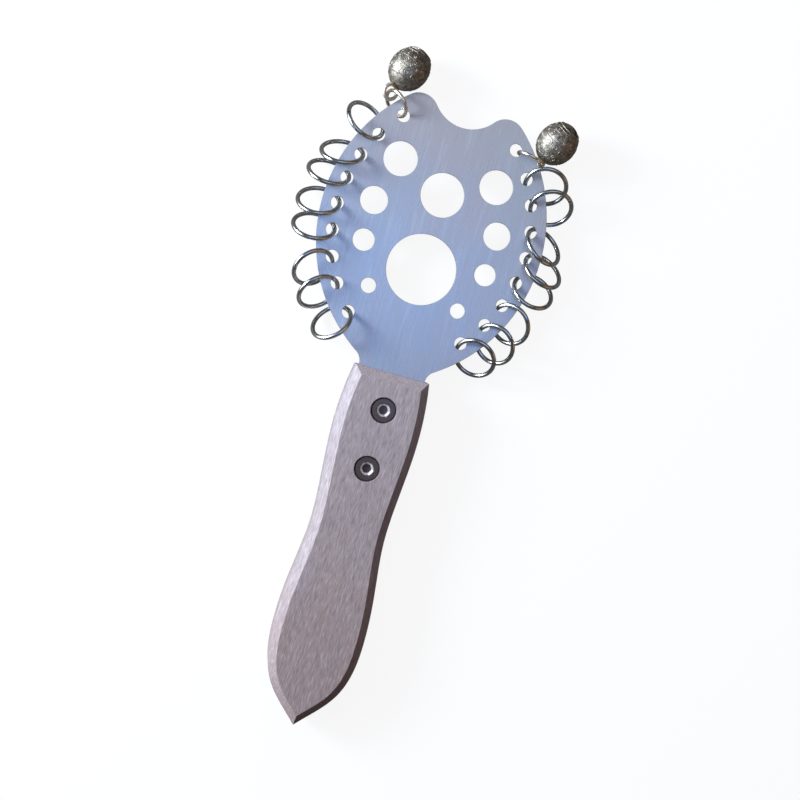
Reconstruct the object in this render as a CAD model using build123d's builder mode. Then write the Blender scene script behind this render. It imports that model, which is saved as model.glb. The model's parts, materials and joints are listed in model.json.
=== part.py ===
import os
from math import acos, atan2, cos, degrees, radians, sin, sqrt

from build123d import *

os.makedirs("parts", exist_ok=True)

# Handle: one piece of beech, lying on its back face, sawn open at the top end
HANDLE_LENGTH = 166.0
HANDLE_THICKNESS = 18.0
HANDLE_BEVEL = 3.8
HANDLE_TOP_WIDTH = 34.2
HANDLE_SHOULDER_WIDTH = 38.9
HANDLE_WAIST_WIDTH = 34.2
HANDLE_BELLY_WIDTH = 42.1
HANDLE_NOSE_WIDTH = 30.1
SHOULDER_RATIO = 0.18
WAIST_RATIO = 0.445
BELLY_RATIO = 0.735
NOSE_RATIO = 0.9
TIP_HALF_ANGLE = 43.5
TOP_FLARE_ANGLE = 10.5

# Sound plate: sheet steel, its middle plane half way up the handle
PLATE_THICKNESS = 1.2
HEAD_REACH = 48.5
SIDE_RADIUS = 73.0
SIDE_CENTRE_ACROSS = 21.6
SIDE_CENTRE_UP = 18.0
HORN_RADIUS = 9.0
HORN_ACROSS = 20.4
NOTCH_DEPTH = 9.7
NECK_WIDTH = 31.0
NECK_FILLET = 6.0
TANG_LENGTH = 58.0
TANG_CORNER = 4.0
KERF_CLEARANCE = 0.05
KERF_SPARE_LENGTH = 2.0

# Round sound holes, up from the middle of the largest one; paired ones are set in from the side edges
MAIN_HOLE_DIAMETER = 32.0
SECOND_HOLE_DIAMETER = 20.0
SECOND_HOLE_UP = 34.5
PAIRED_HOLES = [
    (23.8, 44.7, 15.6),
    (22.2, 23.8, 12.6),
    (21.7, 5.6, 10.0),
    (23.3, -13.4, 6.9),
]

# Edge holes, on an arc inside each side edge
EDGE_HOLE_DIAMETER = 5.8
EDGE_HOLE_INSET = 7.0
EDGE_HOLE_STEP = 10.4
EDGE_HOLE_END_STEP = 12.0
RING_HOLE_STEPS = [3, 2, 1, 0, -1, -2, -3]

# Screws and barrel nuts through handle and tang
UPPER_SCREW_BELOW_TOP = 16.7
SCREW_SPACING = 27.2
HEAD_DIAMETER = 11.0
HEAD_HEIGHT = 2.2
HEAD_EDGE_BEVEL = 0.5
HEAD_SINK = 0.3
COUNTERBORE_CLEARANCE = 0.4
SCREW_DIAMETER = 5.0
SCREW_TIP_GAP = 3.0
THREAD_CHAMFER = 0.6
THREAD_CLEARANCE = 0.1
SLEEVE_WALL = 1.0
SLEEVE_CLEARANCE = 0.15
SLEEVE_END_GAP = 1.0
BORE_FLOOR = 1.5
SOCKET_ACROSS_FLATS = 4.0
SOCKET_DEPTH = 1.6
SOCKET_MOUTH = 1.1

# Sounding rings: bent wire with butted ends
RING_WIRE = 2.0
RING_MEAN_RADIUS = 9.3
BUTT_GAP = 0.25
BUTT_TURN = 40.0

# How each ring lies, from the top hole down: turn from straight out, lean off the plate, slide in the hole
RINGS_LEFT = [
    (0, 45, -1.0),
    (30, 55, -1.0),
    (10, 55, -1.0),
    (10, 50, -1.0),
    (-5, 52, -1.0),
    (25, 135, 0.5),
    (10, 130, 0.0),
    (5, 54, -0.5),
]
RINGS_RIGHT = [
    (-35, 39, 0.0),
    (-12, 40, 0.0),
    (-42, 133, -0.5),
    (-20, 132, 0.5),
    (0, 138, -0.5),
    (-30, 42, 0.0),
    (-15, 42, 0.5),
    (14, 40, 0.0),
]

# Bell links: smaller rings in the top holes
LINK_WIRE = 1.6
LINK_MEAN_RADIUS = 6.2
LINK_LEFT = (0, 115, 0.0)
LINK_RIGHT = (-54, 90, 1.6)

# Bells: egg-shaped, with a cast loop at one end and a sound slot at the other
BELL_RADIUS = 8.9
BELL_HALF_LENGTH = 10.3
BELL_END_RADIUS = 7.7
BELL_WALL = 0.7
LOOP_WIRE = 1.7
LOOP_HOLE_RADIUS = 2.4
LOOP_OUT = 3.2
LOOP_CONTACT_GAP = 0.7
BEAD_RADIUS = 0.35
BEAD_SLOPES = [38, 50]
SLOT_WIDTH = 1.2
SLOT_LENGTH = 8.0
SLOT_DEPTH = 3.2
SLOT_EYE_DIAMETER = 2.4
PELLET_RADIUS = 2.6
PELLET_GAP = 0.3

# Where on its link each bell hangs, and which way it points: angle along the link, heading, rise
BELL_LEFT_HANG = (20, 66, -8)
BELL_RIGHT_HANG = (-44, 64, 24)

# Places that follow from the sizes above
HANDLE_TOP = HANDLE_LENGTH / 2
PLATE_MIDDLE = HANDLE_THICKNESS / 2
HEAD_CENTRE = HANDLE_TOP + HEAD_REACH
UPPER_SCREW = HANDLE_TOP - UPPER_SCREW_BELOW_TOP
LOWER_SCREW = UPPER_SCREW - SCREW_SPACING
SLEEVE_DIAMETER = SCREW_DIAMETER + 2 * (THREAD_CLEARANCE + SLEEVE_WALL)
SLEEVE_HOLE_DIAMETER = SLEEVE_DIAMETER + 2 * SLEEVE_CLEARANCE
HEAD_SEAT = HEAD_SINK + HEAD_HEIGHT
SCREW_LENGTH = HANDLE_THICKNESS - 2 * HEAD_SEAT - SCREW_TIP_GAP
SLEEVE_LENGTH = HANDLE_THICKNESS - 2 * HEAD_SEAT - SLEEVE_END_GAP
EDGE_HOLE_RADIUS = SIDE_RADIUS - EDGE_HOLE_INSET
RING_HOLE_ANGLES = [step * EDGE_HOLE_STEP for step in RING_HOLE_STEPS]
LAST_RING_HOLE_ANGLE = RING_HOLE_ANGLES[-1] - EDGE_HOLE_END_STEP
BELL_HOLE_ANGLE = RING_HOLE_ANGLES[0] + EDGE_HOLE_END_STEP
ALL_RING_ANGLES = RING_HOLE_ANGLES + [LAST_RING_HOLE_ANGLE]
LOOP_MEAN_RADIUS = LOOP_HOLE_RADIUS + LOOP_WIRE / 2
LOOP_REACH = BELL_HALF_LENGTH + LOOP_OUT
LOOP_OFFSET = LOOP_HOLE_RADIUS - LINK_WIRE / 2 - LOOP_CONTACT_GAP

head_plane = Plane(origin=(0, HEAD_CENTRE, PLATE_MIDDLE))


def side_edge(up):
    """Half width of the plate between its side edges at a height in the head's own frame."""
    return sqrt(SIDE_RADIUS**2 - (up - SIDE_CENTRE_UP) ** 2) - SIDE_CENTRE_ACROSS


def edge_hole(side, angle):
    """Middle of an edge hole, side +1 for the right edge and -1 for the left, in the head's own frame."""
    across = EDGE_HOLE_RADIUS * cos(radians(angle)) - SIDE_CENTRE_ACROSS
    up = EDGE_HOLE_RADIUS * sin(radians(angle)) + SIDE_CENTRE_UP
    return side * across, up


def straight_out(side, angle):
    """Direction that points straight out of the edge at a hole, in degrees from the X axis."""
    return angle if side > 0 else 180 - angle


def ring_plane(side, angle, pose, mean_radius):
    """Plane of a ring through an edge hole: X runs from the hole through the ring's middle."""
    turn, lean, slide = pose
    heading = radians(straight_out(side, angle) + turn)
    tilt = radians(lean)
    across, up = edge_hole(side, angle)
    out = Vector(cos(heading), sin(heading), 0)
    hole = Vector(across, HEAD_CENTRE + up, PLATE_MIDDLE)
    normal = Vector(sin(tilt) * sin(heading), -sin(tilt) * cos(heading), cos(tilt))
    return Plane(origin=hole + out * (slide + mean_radius), x_dir=out, z_dir=normal)


def wire_ring(plane, mean_radius, wire):
    """Closed-up ring of round wire in a plane, its butted ends a little past the far side."""
    turn = radians(BUTT_TURN)
    spoke = plane.x_dir * cos(turn) + plane.y_dir * sin(turn)
    section = Plane(
        origin=plane.origin + spoke * mean_radius, x_dir=spoke, z_dir=plane.z_dir.cross(spoke)
    )
    with BuildPart() as ring:
        with BuildSketch(section):
            Circle(wire / 2)
        revolve(
            axis=Axis(plane.origin, plane.z_dir),
            revolution_arc=360 - degrees(BUTT_GAP / mean_radius),
        )
    return ring


def save(piece, name):
    """Label a sub-part and write its file."""
    piece.part.label = name
    export_step(piece.part, f"parts/{name}.step")


# Sound plate
horn_reach = SIDE_RADIUS - HORN_RADIUS
horn_angle = degrees(acos((HORN_ACROSS + SIDE_CENTRE_ACROSS) / horn_reach))
horn_up = SIDE_CENTRE_UP + horn_reach * sin(radians(horn_angle))
notch_bottom = horn_up + HORN_RADIUS - NOTCH_DEPTH
notch_drop = HORN_RADIUS - NOTCH_DEPTH
notch_radius = (HORN_ACROSS**2 + notch_drop**2 - HORN_RADIUS**2) / (2 * NOTCH_DEPTH)
notch_up = notch_bottom + notch_radius
notch_angle = degrees(atan2(horn_up - notch_up, HORN_ACROSS))
fillet_across = NECK_WIDTH / 2 + NECK_FILLET
fillet_span = SIDE_RADIUS + NECK_FILLET
fillet_drop = sqrt(fillet_span**2 - (fillet_across + SIDE_CENTRE_ACROSS) ** 2)
fillet_angle = degrees(atan2(fillet_drop, fillet_across + SIDE_CENTRE_ACROSS))
tang_end = -HEAD_REACH - TANG_LENGTH

with BuildPart() as sound_plate:
    with BuildSketch(head_plane):
        with BuildLine():
            CenterArc((0, notch_up), notch_radius, -90, 90 + notch_angle)
            CenterArc(
                (HORN_ACROSS, horn_up), HORN_RADIUS, 180 + notch_angle, horn_angle - notch_angle - 180
            )
            CenterArc(
                (-SIDE_CENTRE_ACROSS, SIDE_CENTRE_UP), SIDE_RADIUS, horn_angle, -horn_angle - fillet_angle
            )
            neck = CenterArc(
                (fillet_across, SIDE_CENTRE_UP - fillet_drop), NECK_FILLET, 180 - fillet_angle, fillet_angle
            )
            Polyline(
                neck @ 1,
                (NECK_WIDTH / 2, tang_end + TANG_CORNER),
                (NECK_WIDTH / 2 - TANG_CORNER, tang_end),
                (0, tang_end),
            )
            mirror(about=Plane.YZ)
        make_face()
        Circle(MAIN_HOLE_DIAMETER / 2, mode=Mode.SUBTRACT)
        with Locations((0, SECOND_HOLE_UP)):
            Circle(SECOND_HOLE_DIAMETER / 2, mode=Mode.SUBTRACT)
        for inset, up, diameter in PAIRED_HOLES:
            across = side_edge(up) - inset
            with Locations((across, up), (-across, up)):
                Circle(diameter / 2, mode=Mode.SUBTRACT)
        for angle in ALL_RING_ANGLES + [BELL_HOLE_ANGLE]:
            with Locations(edge_hole(1, angle), edge_hole(-1, angle)):
                Circle(EDGE_HOLE_DIAMETER / 2, mode=Mode.SUBTRACT)
        with Locations((0, UPPER_SCREW - HEAD_CENTRE), (0, LOWER_SCREW - HEAD_CENTRE)):
            Circle(SLEEVE_HOLE_DIAMETER / 2, mode=Mode.SUBTRACT)
    extrude(amount=PLATE_THICKNESS / 2, both=True)
save(sound_plate, "sound_plate")

# Handle
belly = Vector(HANDLE_BELLY_WIDTH / 2, HANDLE_TOP - BELLY_RATIO * HANDLE_LENGTH)
nose = Vector(HANDLE_NOSE_WIDTH / 2, HANDLE_TOP - NOSE_RATIO * HANDLE_LENGTH)
flare_direction = (sin(radians(TOP_FLARE_ANGLE)), -cos(radians(TOP_FLARE_ANGLE)))
tip_direction = (-sin(radians(TIP_HALF_ANGLE)), -cos(radians(TIP_HALF_ANGLE)))
kerf_depth = TANG_LENGTH + KERF_SPARE_LENGTH

with BuildPart() as handle:
    with BuildSketch():
        with BuildLine():
            Line((0, HANDLE_TOP), (HANDLE_TOP_WIDTH / 2, HANDLE_TOP))
            Spline(
                (HANDLE_TOP_WIDTH / 2, HANDLE_TOP),
                (HANDLE_SHOULDER_WIDTH / 2, HANDLE_TOP - SHOULDER_RATIO * HANDLE_LENGTH),
                (HANDLE_WAIST_WIDTH / 2, HANDLE_TOP - WAIST_RATIO * HANDLE_LENGTH),
                belly,
                tangents=[flare_direction, (0, -1)],
            )
            Spline(belly, nose, (0, -HANDLE_TOP), tangents=[(0, -1), tip_direction])
            mirror(about=Plane.YZ)
        make_face()
    extrude(amount=HANDLE_THICKNESS)
    rims = handle.faces().filter_by(Axis.Z).edges()
    chamfer(rims, HANDLE_BEVEL)
    with Locations((0, HANDLE_TOP - kerf_depth / 2, PLATE_MIDDLE)):
        Box(
            HANDLE_BELLY_WIDTH,
            kerf_depth,
            PLATE_THICKNESS + 2 * KERF_CLEARANCE,
            mode=Mode.SUBTRACT,
        )
    with Locations((0, UPPER_SCREW, 0), (0, LOWER_SCREW, 0)):
        with Locations((0, 0, PLATE_MIDDLE)):
            Cylinder(SLEEVE_HOLE_DIAMETER / 2, HANDLE_THICKNESS, mode=Mode.SUBTRACT)
        with Locations((0, 0, HEAD_SEAT / 2), (0, 0, HANDLE_THICKNESS - HEAD_SEAT / 2)):
            Cylinder(HEAD_DIAMETER / 2 + COUNTERBORE_CLEARANCE, HEAD_SEAT, mode=Mode.SUBTRACT)
save(handle, "handle")


def headed_body(face):
    """Flat round head with a bevelled rim and a bevelled hex socket, its outer side on the given plane."""
    with BuildPart() as head:
        with BuildSketch(face):
            Circle(HEAD_DIAMETER / 2)
        extrude(amount=-HEAD_HEIGHT)
        outward = Axis(face.origin, face.z_dir)
        chamfer(head.edges().sort_by(outward)[-1], HEAD_EDGE_BEVEL)
        with BuildSketch(face):
            RegularPolygon(SOCKET_ACROSS_FLATS / 2, 6, major_radius=False)
        extrude(amount=-SOCKET_DEPTH, mode=Mode.SUBTRACT)
        mouth = head.faces().sort_by(outward)[-1].inner_wires()[0].edges()
        chamfer(mouth, SOCKET_MOUTH)
    return head.part


# Screws from the front and barrel nuts from the back
for place, along in (("upper", UPPER_SCREW), ("lower", LOWER_SCREW)):
    front = Plane(origin=(0, along, HANDLE_THICKNESS - HEAD_SINK))
    back = Plane(origin=(0, along, HEAD_SINK), x_dir=(1, 0, 0), z_dir=(0, 0, -1))
    with BuildPart() as screw:
        add(headed_body(front))
        with BuildSketch(front.offset(-HEAD_HEIGHT)):
            Circle(SCREW_DIAMETER / 2)
        extrude(amount=-SCREW_LENGTH)
        chamfer(screw.edges().sort_by(Axis.Z)[0], THREAD_CHAMFER)
    save(screw, f"{place}_screw")

    with BuildPart() as barrel_nut:
        add(headed_body(back))
        with BuildSketch(back.offset(-HEAD_HEIGHT)):
            Circle(SLEEVE_DIAMETER / 2)
        extrude(amount=-SLEEVE_LENGTH)
        with BuildSketch(back.offset(-HEAD_HEIGHT - SLEEVE_LENGTH)):
            Circle(SCREW_DIAMETER / 2 + THREAD_CLEARANCE)
        extrude(amount=SLEEVE_LENGTH - BORE_FLOOR, mode=Mode.SUBTRACT)
    save(barrel_nut, f"{place}_barrel_nut")

# Sounding rings
for side, word, poses in ((-1, "left", RINGS_LEFT), (1, "right", RINGS_RIGHT)):
    for number, (angle, pose) in enumerate(zip(ALL_RING_ANGLES, poses), start=1):
        plane = ring_plane(side, angle, pose, RING_MEAN_RADIUS)
        save(wire_ring(plane, RING_MEAN_RADIUS, RING_WIRE), f"ring_{word}_{number}")


def bell_plane(link, hang):
    """Plane at a bell's middle: Z runs from the loop to the slot, X along the hole of the loop."""
    along, heading, rise = (radians(value) for value in hang)
    wire_point = link.origin + (link.x_dir * cos(along) + link.y_dir * sin(along)) * LINK_MEAN_RADIUS
    wire_run = link.y_dir * cos(along) - link.x_dir * sin(along)
    axis = Vector(cos(rise) * cos(heading), cos(rise) * sin(heading), sin(rise))
    hole_run = (wire_run - axis * wire_run.dot(axis)).normalized()
    return Plane(origin=wire_point + axis * (LOOP_REACH - LOOP_OFFSET), x_dir=hole_run, z_dir=axis)


# Bell halves, each drawn upright on the bell's middle plane with its round end on top
end_rise = BELL_HALF_LENGTH - BELL_END_RADIUS
side_inset = (end_rise**2 - (BELL_RADIUS - BELL_END_RADIUS) ** 2) / (2 * (BELL_RADIUS - BELL_END_RADIUS))
side_sweep = degrees(atan2(end_rise, side_inset))
pellet_reach = BELL_RADIUS - BELL_WALL - PELLET_GAP - PELLET_RADIUS


def egg_shell():
    """Upper half of an egg-shaped shell about the Z axis: a side arc running into a round end."""
    with BuildPart() as shell:
        with BuildSketch(Plane.XZ):
            with BuildLine():
                ends = []
                for inward in (0, BELL_WALL):
                    side_arc = CenterArc((-side_inset, 0), BELL_RADIUS + side_inset - inward, 0, side_sweep)
                    end_arc = CenterArc((0, end_rise), BELL_END_RADIUS - inward, side_sweep, 90 - side_sweep)
                    ends.append((side_arc @ 0, end_arc @ 1))
                Line(ends[0][0], ends[1][0])
                Line(ends[0][1], ends[1][1])
            make_face()
        revolve(axis=Axis.Z)
    return shell.part


with BuildPart() as upright_crown:
    add(egg_shell())
    with BuildSketch(Plane.XZ):
        with Locations((0, LOOP_REACH + LOOP_MEAN_RADIUS)):
            Circle(LOOP_WIRE / 2)
    revolve(axis=Axis((0, 0, LOOP_REACH), (1, 0, 0)))

with BuildPart() as upright_cup:
    add(egg_shell())
    with BuildSketch(Plane.XZ):
        for slope in BEAD_SLOPES:
            bead_across = BELL_END_RADIUS * cos(radians(slope))
            bead_up = end_rise + BELL_END_RADIUS * sin(radians(slope))
            with Locations((bead_across, bead_up)):
                Circle(BEAD_RADIUS)
    revolve(axis=Axis.Z)
    with BuildSketch(Plane.XY.offset(BELL_HALF_LENGTH)):
        Rectangle(SLOT_LENGTH, SLOT_WIDTH)
        with Locations((SLOT_LENGTH / 2, 0), (-SLOT_LENGTH / 2, 0)):
            Circle(SLOT_EYE_DIAMETER / 2)
    extrude(amount=-SLOT_DEPTH, mode=Mode.SUBTRACT)

# Bells and the links that carry them
for side, word, link_pose, hang in (
    (-1, "left", LINK_LEFT, BELL_LEFT_HANG),
    (1, "right", LINK_RIGHT, BELL_RIGHT_HANG),
):
    link = ring_plane(side, BELL_HOLE_ANGLE, link_pose, LINK_MEAN_RADIUS)
    save(wire_ring(link, LINK_MEAN_RADIUS, LINK_WIRE), f"link_{word}")

    middle = bell_plane(link, hang)
    with BuildPart() as crown:
        with Locations(Plane(origin=middle.origin, x_dir=middle.x_dir, z_dir=-middle.z_dir)):
            add(upright_crown.part)
    save(crown, f"bell_{word}_crown")

    with BuildPart() as cup:
        with Locations(middle):
            add(upright_cup.part)
    save(cup, f"bell_{word}_cup")

    downward = (middle.z_dir * middle.z_dir.Z - Vector(0, 0, 1)).normalized()
    with BuildPart() as pellet:
        with Locations(middle.origin + downward * pellet_reach):
            Sphere(PELLET_RADIUS)
    save(pellet, f"bell_{word}_pellet")
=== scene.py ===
import json
import math

import bmesh
import bpy
from mathutils import Euler, Matrix, Vector


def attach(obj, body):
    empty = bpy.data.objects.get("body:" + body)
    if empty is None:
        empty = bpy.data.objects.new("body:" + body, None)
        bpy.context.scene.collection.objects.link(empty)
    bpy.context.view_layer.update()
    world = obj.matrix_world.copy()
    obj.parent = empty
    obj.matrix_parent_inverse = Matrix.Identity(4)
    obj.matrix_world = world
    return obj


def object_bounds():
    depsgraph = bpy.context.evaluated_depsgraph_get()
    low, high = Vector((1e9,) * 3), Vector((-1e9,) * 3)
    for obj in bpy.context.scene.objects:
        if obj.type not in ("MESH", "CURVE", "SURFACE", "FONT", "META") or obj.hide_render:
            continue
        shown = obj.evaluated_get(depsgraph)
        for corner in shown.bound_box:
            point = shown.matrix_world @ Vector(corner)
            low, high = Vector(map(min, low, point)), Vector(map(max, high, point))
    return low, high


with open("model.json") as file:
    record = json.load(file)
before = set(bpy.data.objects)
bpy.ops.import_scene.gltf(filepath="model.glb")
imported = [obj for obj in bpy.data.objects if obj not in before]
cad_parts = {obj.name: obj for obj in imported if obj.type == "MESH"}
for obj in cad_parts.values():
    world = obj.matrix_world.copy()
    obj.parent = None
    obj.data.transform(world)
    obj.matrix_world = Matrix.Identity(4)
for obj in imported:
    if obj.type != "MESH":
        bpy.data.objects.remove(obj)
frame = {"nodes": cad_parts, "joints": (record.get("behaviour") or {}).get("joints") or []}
cad_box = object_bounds()
nodes = frame["nodes"]
MM = 0.001

# Screw heads: where they sit along the handle and the bright ring on them, partly wear and partly painted
# highlight, in millimetres
SCREW_ROWS_Y = (66.3, 39.1)
MOUTH_RADIUS = 2.45
MOUTH_WEAR_AND_GLINT = 0.45

# Bells: their middles, and how far from there the link has rubbed the loop bright, in millimetres
joints = {j["name"]: j for j in frame["joints"]}
bell_middles = {word: Vector(joints[f"pellet_{word}_roll"]["pos_m"]) for word in ("left", "right")}
RUBBED_FROM = 10.4
RUBBED_FULL = 11.6
RUBBED_TO = 20.0


def linear(hex_colour):
    """Linear RGBA of an sRGB hex colour."""
    parts = [int(hex_colour[i:i + 2], 16) / 255 for i in (1, 3, 5)]
    return [p / 12.92 if p <= 0.04045 else ((p + 0.055) / 1.055) ** 2.4 for p in parts] + [1.0]


def node(tree, kind, inputs=None, **settings):
    """Adds one node with its settings; an input is a value or another node's output."""
    made = tree.nodes.new(kind)
    for name, value in settings.items():
        setattr(made, name, value)
    for name, value in (inputs or {}).items():
        if isinstance(value, bpy.types.NodeSocket):
            tree.links.new(value, made.inputs[name])
        else:
            made.inputs[name].default_value = value
    return made


def surface(name):
    """A new material with an empty shader and its output."""
    material = bpy.data.materials.new(name)
    material.use_nodes = True
    tree = material.node_tree
    tree.nodes.clear()
    shader = node(tree, "ShaderNodeBsdfPrincipled")
    node(tree, "ShaderNodeOutputMaterial", {"Surface": shader.outputs["BSDF"]})
    return material, tree, shader


def stretched(tree, across_mm, along_mm, deep_mm):
    """Coordinates on the part that count one unit per given length in each direction."""
    place = node(tree, "ShaderNodeTexCoord")
    return node(tree, "ShaderNodeMapping", {
        "Vector": place.outputs["Object"],
        "Scale": (1 / (across_mm * MM), 1 / (along_mm * MM), 1 / (deep_mm * MM)),
    }).outputs["Vector"]


def brushed_stainless():
    """Stainless sheet, brushed lengthwise: soft reflections with fine streaks and faint tinted patches."""
    material, tree, shader = surface("brushed_stainless")
    # Real brush lines lie about 0.1 mm apart; they are drawn eight times as coarse, so that they show
    streaks = node(tree, "ShaderNodeTexNoise", {
        "Vector": stretched(tree, 0.8, 40, 0.8), "Scale": 1.0, "Detail": 4.0, "Roughness": 0.6,
    })
    scuffs = node(tree, "ShaderNodeTexNoise", {
        "Vector": stretched(tree, 2.2, 26, 2.2), "Scale": 1.0, "Detail": 3.0, "Roughness": 0.55,
    })
    clouds = node(tree, "ShaderNodeTexNoise", {
        "Vector": stretched(tree, 22, 30, 22), "Scale": 1.0, "Detail": 2.0,
    })
    rough = node(tree, "ShaderNodeMapRange", {
        "Value": streaks.outputs["Fac"], "From Min": 0.3, "From Max": 0.7, "To Min": 0.24, "To Max": 0.36,
    })
    tint_share = node(tree, "ShaderNodeMapRange", {
        "Value": clouds.outputs["Fac"], "From Min": 0.35, "From Max": 0.65, "To Min": 0.0, "To Max": 1.0,
    })
    tint = node(tree, "ShaderNodeMix", {
        "Factor": tint_share.outputs["Result"], "A": linear("#a4a9b0"), "B": linear("#aaa8ac"),
    }, data_type="RGBA")
    scuff_share = node(tree, "ShaderNodeMapRange", {
        "Value": scuffs.outputs["Fac"], "From Min": 0.54, "From Max": 0.74, "To Min": 0.0, "To Max": 0.32,
    })
    scuffed = node(tree, "ShaderNodeMix", {
        "Factor": scuff_share.outputs["Result"], "A": tint.outputs["Result"], "B": linear("#bfc5c9"),
    }, data_type="RGBA")
    streak_share = node(tree, "ShaderNodeMapRange", {
        "Value": streaks.outputs["Fac"], "From Min": 0.5, "From Max": 0.25, "To Min": 0.0, "To Max": 0.16,
    })
    tone = node(tree, "ShaderNodeMix", {
        "Factor": streak_share.outputs["Result"], "A": scuffed.outputs["Result"], "B": linear("#8f959c"),
    }, data_type="RGBA")
    rounded = node(tree, "ShaderNodeBevel", {"Radius": 0.35 * MM}, samples=6)
    bump = node(tree, "ShaderNodeBump", {
        "Height": streaks.outputs["Fac"], "Strength": 0.1, "Distance": 0.02 * MM,
        "Normal": rounded.outputs["Normal"],
    })
    for name, value in (("Base Color", tone.outputs["Result"]), ("Roughness", rough.outputs["Result"]),
                        ("Normal", bump.outputs["Normal"])):
        tree.links.new(value, shader.inputs[name])
    shader.inputs["Metallic"].default_value = 0.42
    return material


def oiled_beech():
    """Sanded beech: pinkish grey-brown with short dark rays and pale pores along the grain, with painted
    shade that darkens it towards the handle's end.
    """
    material, tree, shader = surface("oiled_beech")
    grain = node(tree, "ShaderNodeTexNoise", {
        "Vector": stretched(tree, 1.6, 45, 1.6), "Scale": 1.0, "Detail": 5.0, "Roughness": 0.65,
    })
    rays = node(tree, "ShaderNodeTexNoise", {
        "Vector": stretched(tree, 0.55, 4.2, 0.55), "Scale": 1.0, "Detail": 3.0, "Roughness": 0.55,
    })
    clouds = node(tree, "ShaderNodeTexNoise", {
        "Vector": stretched(tree, 14, 50, 14), "Scale": 1.0, "Detail": 2.0,
    })
    along = node(tree, "ShaderNodeSeparateXYZ", {"Vector": stretched(tree, 1, 1, 1)})
    # Painted shade: the wood turns darker and browner towards the handle's end, standing in for the
    # overhead light that falls off along the handle
    end_shade_share = node(tree, "ShaderNodeMapRange", {
        "Value": along.outputs["Y"], "From Min": 70.0, "From Max": -70.0, "To Min": 0.0, "To Max": 1.0,
    })
    ground = node(tree, "ShaderNodeMix", {
        "Factor": end_shade_share.outputs["Result"], "A": linear("#a69995"), "B": linear("#987b6b"),
    }, data_type="RGBA")
    ground = node(tree, "ShaderNodeMix", {
        "Factor": clouds.outputs["Fac"], "A": ground.outputs["Result"], "B": linear("#a29391"),
    }, data_type="RGBA")
    grain_share = node(tree, "ShaderNodeMapRange", {
        "Value": grain.outputs["Fac"], "From Min": 0.35, "From Max": 0.68, "To Min": 0.0, "To Max": 0.45,
    })
    grained = node(tree, "ShaderNodeMix", {
        "Factor": grain_share.outputs["Result"], "A": ground.outputs["Result"], "B": linear("#867978"),
    }, data_type="RGBA")
    ray_share = node(tree, "ShaderNodeMapRange", {
        "Value": rays.outputs["Fac"], "From Min": 0.5, "From Max": 0.68, "To Min": 0.0, "To Max": 0.6,
    })
    rayed = node(tree, "ShaderNodeMix", {
        "Factor": ray_share.outputs["Result"], "A": grained.outputs["Result"], "B": linear("#746562"),
    }, data_type="RGBA")
    pore_share = node(tree, "ShaderNodeMapRange", {
        "Value": rays.outputs["Fac"], "From Min": 0.44, "From Max": 0.3, "To Min": 0.0, "To Max": 0.55,
    })
    beech = node(tree, "ShaderNodeMix", {
        "Factor": pore_share.outputs["Result"], "A": rayed.outputs["Result"], "B": linear("#beb2b0"),
    }, data_type="RGBA")
    rounded = node(tree, "ShaderNodeBevel", {"Radius": 0.4 * MM}, samples=4)
    bump = node(tree, "ShaderNodeBump", {
        "Height": rays.outputs["Fac"], "Strength": 0.25, "Distance": 0.08 * MM,
        "Normal": rounded.outputs["Normal"],
    })
    for name, value in (("Base Color", beech.outputs["Result"]), ("Normal", bump.outputs["Normal"])):
        tree.links.new(value, shader.inputs[name])
    shader.inputs["Roughness"].default_value = 0.62
    shader.inputs["Specular IOR Level"].default_value = 0.3
    return material


def cloudy_metal(name, bright, dull, rough_low, rough_high):
    """Bare metal with cloudy patches: its material, nodes and shader, and the colour of the patches."""
    material, tree, shader = surface(name)
    clouds = node(tree, "ShaderNodeTexNoise", {
        "Vector": stretched(tree, 3, 3, 3), "Scale": 1.0, "Detail": 3.0,
    })
    tone = node(tree, "ShaderNodeMix", {
        "Factor": clouds.outputs["Fac"], "A": linear(bright), "B": linear(dull),
    }, data_type="RGBA")
    rough = node(tree, "ShaderNodeMapRange", {
        "Value": clouds.outputs["Fac"], "From Min": 0.3, "From Max": 0.7,
        "To Min": rough_low, "To Max": rough_high,
    })
    tree.links.new(rough.outputs["Result"], shader.inputs["Roughness"])
    shader.inputs["Metallic"].default_value = 1.0
    return material, tree, shader, tone.outputs["Result"]


def plated_wire(name, bright, dull, rough_low, rough_high):
    """Drawn and plated steel wire: mirror-like with a few cloudy patches."""
    material, tree, shader, tone = cloudy_metal(name, bright, dull, rough_low, rough_high)
    tree.links.new(tone, shader.inputs["Base Color"])
    return material


def oxide_black_steel():
    """Black-oxide screw heads: dark satin steel, with a bright ring round the mouth of the socket that is
    partly wear and partly a painted highlight for the light on the socket's chamfer.
    """
    material, tree, shader, black = cloudy_metal("oxide_black_steel", "#6a5b57", "#584b48", 0.18, 0.28)
    wear_and_glint = 0.0
    for row_y in SCREW_ROWS_Y:
        place = node(tree, "ShaderNodeTexCoord").outputs["Object"]
        flat = node(tree, "ShaderNodeVectorMath", {0: place, 1: (1, 1, 0)}, operation="MULTIPLY")
        reach = node(tree, "ShaderNodeVectorMath", {
            0: flat.outputs["Vector"], 1: (0, row_y * MM, 0),
        }, operation="DISTANCE")
        near = node(tree, "ShaderNodeMath", {
            0: reach.outputs["Value"], 1: MOUTH_RADIUS * MM, 2: MOUTH_WEAR_AND_GLINT * MM,
        }, operation="COMPARE")
        wear_and_glint = node(tree, "ShaderNodeMath", {0: near.outputs[0], 1: wear_and_glint}, operation="MAXIMUM").outputs[0]
    # Painted highlight, in part: the bright ring round each socket mouth is partly real wear and partly
    # stands in for light caught on the socket's chamfer
    tone = node(tree, "ShaderNodeMix", {
        "Factor": wear_and_glint, "A": black, "B": linear("#cfc6bd"),
    }, data_type="RGBA")
    tree.links.new(tone.outputs["Result"], shader.inputs["Base Color"])
    shader.inputs["Metallic"].default_value = 0.5
    return material


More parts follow.
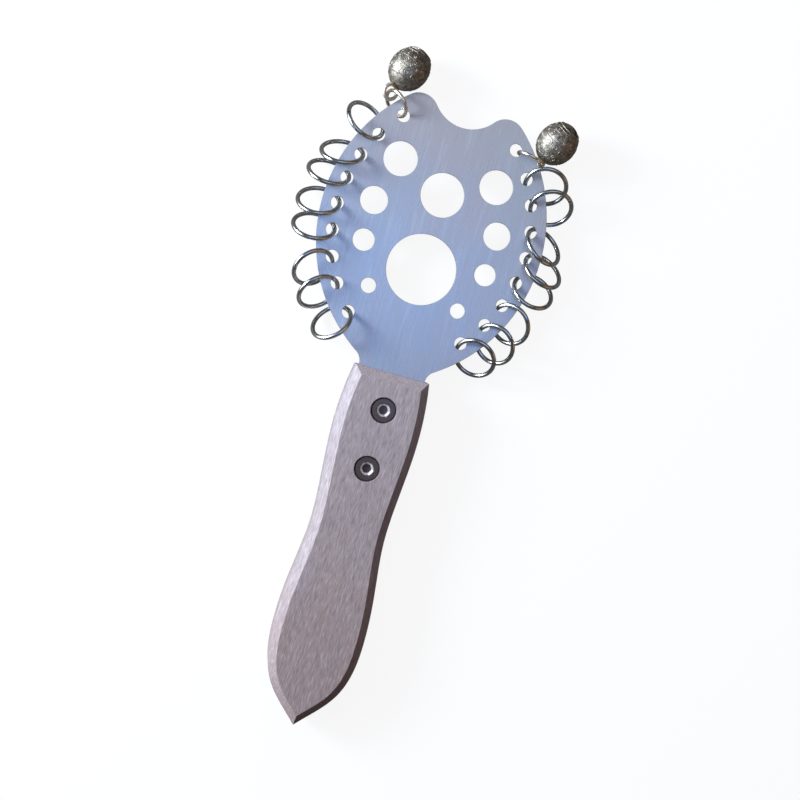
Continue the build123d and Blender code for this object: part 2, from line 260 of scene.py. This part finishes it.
def antique_nickel(name, worn, dark, rough):
    """Cast and darkened nickel: brown-black patina between the worn, brighter high places."""
    material, tree, shader = surface(name)
    patina = node(tree, "ShaderNodeTexNoise", {
        "Vector": stretched(tree, 1.4, 1.4, 1.4), "Scale": 1.0, "Detail": 4.0, "Roughness": 0.65,
    })
    share = node(tree, "ShaderNodeMapRange", {
        "Value": patina.outputs["Fac"], "From Min": 0.27, "From Max": 0.73, "To Min": 0.0, "To Max": 1.0,
    })
    tone = node(tree, "ShaderNodeMix", {
        "Factor": share.outputs["Result"], "A": linear(worn), "B": linear(dark),
    }, data_type="RGBA").outputs["Result"]
    for middle in bell_middles.values():
        place = node(tree, "ShaderNodeTexCoord").outputs["Object"]
        reach = node(tree, "ShaderNodeVectorMath", {0: place, 1: middle}, operation="DISTANCE")
        rubbed = node(tree, "ShaderNodeMapRange", {
            "Value": reach.outputs["Value"], "To Min": 0.0, "To Max": 0.8,
            "From Min": RUBBED_FROM * MM, "From Max": RUBBED_FULL * MM,
        })
        near = node(tree, "ShaderNodeMath", {
            0: reach.outputs["Value"], 1: RUBBED_TO * MM,
        }, operation="LESS_THAN")
        on_loop = node(tree, "ShaderNodeMath", {
            0: rubbed.outputs["Result"], 1: near.outputs[0],
        }, operation="MULTIPLY")
        tone = node(tree, "ShaderNodeMix", {
            "Factor": on_loop.outputs[0], "A": tone, "B": linear("#efe8d8"),
        }, data_type="RGBA").outputs["Result"]
    bump = node(tree, "ShaderNodeBump", {
        "Height": patina.outputs["Fac"], "Strength": 0.25, "Distance": 0.15 * MM,
    })
    tree.links.new(tone, shader.inputs["Base Color"])
    tree.links.new(bump.outputs["Normal"], shader.inputs["Normal"])
    shader.inputs["Metallic"].default_value = 1.0
    shader.inputs["Roughness"].default_value = rough
    return material


def give(piece, material):
    """Puts one material all over a piece."""
    piece.data.materials.clear()
    piece.data.materials.append(material)


plate_steel = brushed_stainless()
beech = oiled_beech()
ring_wire = plated_wire("nickel_wire", "#d2d4d2", "#a6a8a6", 0.14, 0.26)
link_wire = plated_wire("bright_nickel_wire", "#fff3da", "#e8dcc2", 0.22, 0.34)
screw_steel = oxide_black_steel()
bell_nickel = antique_nickel("antique_nickel", "#c8bdab", "#3a3228", 0.52)
scroll_nickel = antique_nickel("worn_nickel", "#a89f91", "#696155", 0.5)

for name, piece in nodes.items():
    if name == "sound_plate":
        give(piece, plate_steel)
    elif name == "handle":
        give(piece, beech)
    elif "screw" in name or "nut" in name:
        give(piece, screw_steel)
    elif name.startswith("ring"):
        give(piece, ring_wire)
    elif name.startswith("link"):
        give(piece, link_wire)
    else:
        give(piece, bell_nickel)

# Scrolls cast on the bells: spirals of raised line in bands round each bell, sizes in millimetres;
# each band gives its height on the bell, its number of scrolls, their size and the way they wind
BELL_RADIUS = 8.9
BELL_HALF_LENGTH = 10.3
BELL_END_RADIUS = 7.7
END_RISE = BELL_HALF_LENGTH - BELL_END_RADIUS
SIDE_INSET = (END_RISE ** 2 - (BELL_RADIUS - BELL_END_RADIUS) ** 2) / (2 * (BELL_RADIUS - BELL_END_RADIUS))
JOIN_UP = END_RISE * (BELL_RADIUS + SIDE_INSET) / math.hypot(END_RISE, SIDE_INSET)
LINE_RADIUS = 0.26
LINE_SINK = 0.1
SCROLL_BANDS = ((-4.5, 12, 1.7, 1), (-0.4, 14, 1.8, -1), (3.7, 12, 1.7, 1), (6.9, 8, 1.1, -1))
SCROLL_TURNS = 1.7
SCROLL_CLOSING = 0.82
BAND_LINES_UP = (-6.6, -2.5, 1.65, 5.6)
SCROLL_STEPS_PER_TURN = 14
BAND_LINE_STEPS = 48


def bell_skin(up, turn):
    """Point a little under the bell's surface, for a height along its axis and an angle round it."""
    if abs(up) < JOIN_UP:
        reach = math.sqrt((BELL_RADIUS + SIDE_INSET) ** 2 - up ** 2) - SIDE_INSET
    else:
        reach = math.sqrt(max(BELL_END_RADIUS ** 2 - (abs(up) - END_RISE) ** 2, 0.0))
    reach -= LINE_SINK
    return Vector((reach * math.cos(turn), reach * math.sin(turn), up))


def scroll_lines():
    """Runs of points for every raised line on a bell, in the bell's own frame."""
    lines = []
    for middle, count, size, hand in SCROLL_BANDS:
        girth = bell_skin(middle, 0).x
        for i in range(count):
            turn = 2 * math.pi * i / count
            flip = hand if i % 2 else -hand
            line = []
            steps = int(SCROLL_TURNS * SCROLL_STEPS_PER_TURN)
            for k in range(steps + 1):
                along = k / steps
                reach = size * (1 - SCROLL_CLOSING * along)
                sweep = 2 * math.pi * SCROLL_TURNS * along + 0.5 * math.pi
                across = flip * reach * math.cos(sweep)
                rise = reach * math.sin(sweep) * (1 if i % 2 else -1)
                line.append(bell_skin(middle + rise, turn + across / girth))
            lines.append(line)
    for up in BAND_LINES_UP:
        lines.append([bell_skin(up, 2 * math.pi * k / BAND_LINE_STEPS) for k in range(BAND_LINE_STEPS + 1)])
    return lines


def bell_scrolls(word):
    """The raised lines of one bell as a mesh that swings with it."""
    middle = bell_middles[word]
    axis = Vector(joints[f"pellet_{word}_roll"]["axis"]).normalized()
    side = Vector(joints[f"bell_{word}_swing"]["axis"]).normalized()
    turn = Matrix((side, axis.cross(side), axis)).transposed()
    curve = bpy.data.curves.new(f"bell_{word}_scrolls", "CURVE")
    curve.dimensions = "3D"
    curve.bevel_depth = LINE_RADIUS * MM
    curve.bevel_resolution = 1
    curve.use_fill_caps = True
    for line in scroll_lines():
        spline = curve.splines.new("POLY")
        spline.points.add(len(line) - 1)
        for point, place in zip(spline.points, line):
            spot = middle + turn @ (place * MM)
            spot.z = min(spot.z, cad_box[1][2] - LINE_RADIUS * MM)
            point.co = (*spot, 1.0)
    drawn = bpy.data.objects.new("drawn", curve)
    bpy.context.scene.collection.objects.link(drawn)
    mesh = bpy.data.meshes.new_from_object(drawn.evaluated_get(bpy.context.evaluated_depsgraph_get()))
    bpy.data.objects.remove(drawn)
    scrolls = bpy.data.objects.new(f"bell_{word}_scrolls", mesh)
    bpy.context.scene.collection.objects.link(scrolls)
    for face in mesh.polygons:
        face.use_smooth = True
    give(scrolls, scroll_nickel)
    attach(scrolls, f"bell_{word}")


for word in ("left", "right"):
    bell_scrolls(word)

# Floor: a pale sheet that runs out flat and then turns up all round, as radius and height in metres
FLOOR_RINGS_M = ((1.6, 0.0), (2.0, 0.06), (2.3, 0.25), (2.45, 0.6), (2.5, 1.2), (2.5, 3.0))
FLOOR_SIDES = 96
FLOOR_DROP = 0.2 * MM

# Share of plain white in the paper, as the eye sees it and as bare metal mirrors it
PAPER_TO_EYE = 0.9
PAPER_IN_METAL = 0.1


def studio_sweep():
    """The floor sheet with its rim turned up."""
    mesh = bmesh.new()
    rows = []
    for radius, height in FLOOR_RINGS_M:
        rows.append([
            mesh.verts.new((radius * math.cos(a), radius * math.sin(a), height - FLOOR_DROP))
            for a in (2 * math.pi * i / FLOOR_SIDES for i in range(FLOOR_SIDES))
        ])
    mesh.faces.new(rows[0])
    for low, high in zip(rows, rows[1:]):
        for i in range(FLOOR_SIDES):
            j = (i + 1) % FLOOR_SIDES
            mesh.faces.new((low[i], low[j], high[j], high[i]))
    data = bpy.data.meshes.new("studio_sweep")
    mesh.to_mesh(data)
    mesh.free()
    sweep = bpy.data.objects.new("studio_sweep", data)
    bpy.context.scene.collection.objects.link(sweep)
    return sweep


def white_paper():
    """Matt pale paper that stays white to the eye and still takes a soft shadow."""
    material = bpy.data.materials.new("white_paper")
    material.use_nodes = True
    tree = material.node_tree
    tree.nodes.clear()
    path = node(tree, "ShaderNodeLightPath")
    seen = node(tree, "ShaderNodeMath", {
        0: path.outputs["Is Camera Ray"], 1: path.outputs["Is Transmission Ray"],
    }, operation="MAXIMUM")
    in_metal = node(tree, "ShaderNodeMath", {
        0: path.outputs["Is Glossy Ray"], 1: PAPER_IN_METAL,
    }, operation="MULTIPLY")
    to_eye = node(tree, "ShaderNodeMath", {0: seen.outputs[0], 1: PAPER_TO_EYE}, operation="MULTIPLY")
    share = node(tree, "ShaderNodeMath", {
        0: to_eye.outputs[0], 1: in_metal.outputs[0],
    }, operation="MAXIMUM")
    tone = node(tree, "ShaderNodeMix", {
        "Factor": seen.outputs[0], "A": linear("#665b50"), "B": linear("#ffffff"),
    }, data_type="RGBA")
    paper = node(tree, "ShaderNodeBsdfDiffuse", {"Color": tone.outputs["Result"]})
    white = node(tree, "ShaderNodeEmission", {"Color": linear("#ffffff"), "Strength": 1.0})
    mixed = node(tree, "ShaderNodeMixShader", {
        0: share.outputs[0], 1: paper.outputs[0], 2: white.outputs[0],
    })
    node(tree, "ShaderNodeOutputMaterial", {"Surface": mixed.outputs[0]})
    return material


floor = studio_sweep()
give(floor, white_paper())

# Studio lamps: name, place, aim and size in metres, watts, colour, and which metal mirrors the lamp.
# The plate takes the light of the two left lamps but doesn't mirror them, so it stays grey from every side.
STUDIO_LAMPS = (
    ("key_left", (-0.94, 0.22, 0.38), (0, 0.05, 0), (0.3, 0.3), 20.5, "#dcebff", "all but the plate"),
    ("screen_left", (-0.95, 0.1, 0.38), (0, 0.05, 0), (1.0, 0.8), 11, "#dcebff", "all but the plate"),
    ("panel_blue", (-0.07, 0.14, 0.66), (-0.07, 0.14, 0), (0.52, 0.14), 0.7, "#74aeff", "all"),
    ("panel_pale", (0.1, 0.43, 0.66), (0.1, 0.43, 0), (0.62, 0.46), 0.58, "#fbeedc", "all"),
    ("fill_top", (-0.1, 0.95, 0.45), (0, 0.08, 0), (0.5, 0.4), 3.2, "#e8ecff", "none"),
    ("fill_right", (0.8, 0.0, 0.5), (0, 0.05, 0), (0.5, 0.5), 0.52, "#ffb878", "all"),
)


def soft_box(name, place_m, aim_m, size_m, watts, colour, mirrored):
    """A rectangular studio lamp that faces a point, and that metal shows where it is mirrored."""
    light = bpy.data.lights.new(name, "AREA")
    light.shape = "RECTANGLE"
    light.size, light.size_y = size_m
    light.energy = watts
    light.color = linear(colour)[:3]
    lamp = bpy.data.objects.new(name, light)
    lamp.location = place_m
    lamp.rotation_euler = (Vector(aim_m) - Vector(place_m)).to_track_quat("-Z", "Y").to_euler()
    lamp.visible_camera = False
    lamp.visible_glossy = mirrored
    bpy.context.scene.collection.objects.link(lamp)
    return lamp


def link_lamp(lamp, piece, state):
    """Makes a lamp light one piece alone (INCLUDE), or all but that piece (EXCLUDE)."""
    group = bpy.data.collections.new(lamp.name + "_lights")
    group.objects.link(piece)
    group.collection_objects[0].light_linking.link_state = state
    lamp.light_linking.receiver_collection = group


for name, place_m, aim_m, size_m, watts, colour, mirrored_by in STUDIO_LAMPS:
    lamp = soft_box(name, place_m, aim_m, size_m, watts, colour, mirrored_by != "none")
    if mirrored_by == "all but the plate":
        link_lamp(lamp, nodes["sound_plate"], "EXCLUDE")
        on_plate = soft_box(name + "_on_plate", place_m, aim_m, size_m, watts, colour, False)
        link_lamp(on_plate, nodes["sound_plate"], "INCLUDE")

# The room round the studio gives a little warm light from all sides
ROOM_STRENGTH = 0.08
world = bpy.data.worlds.new("studio_room")
bpy.context.scene.world = world
world.use_nodes = True
world.node_tree.nodes["Background"].inputs["Color"].default_value = linear("#f0c8a0")
world.node_tree.nodes["Background"].inputs["Strength"].default_value = ROOM_STRENGTH

# Camera: above the paddle, a little to its left and towards its plate
CAMERA_PLACE_MM = (-71.45, 103.73, 592.0)
CAMERA_TURN_DEG = (-5.052, -6.53, 16.028)
CAMERA_LENS_MM = 58.5
CAMERA_SENSOR_MM = 36.0
CAMERA_NEAR_M = 0.01
camera = bpy.data.objects.new("camera", bpy.data.cameras.new("camera"))
camera.location = [c * MM for c in CAMERA_PLACE_MM]
camera.rotation_euler = Euler([math.radians(a) for a in CAMERA_TURN_DEG], "XYZ")
camera.data.lens = CAMERA_LENS_MM
camera.data.sensor_width = CAMERA_SENSOR_MM
camera.data.clip_start = CAMERA_NEAR_M
bpy.context.scene.collection.objects.link(camera)
bpy.context.scene.camera = camera
bpy.context.scene.view_settings.view_transform = "Standard"
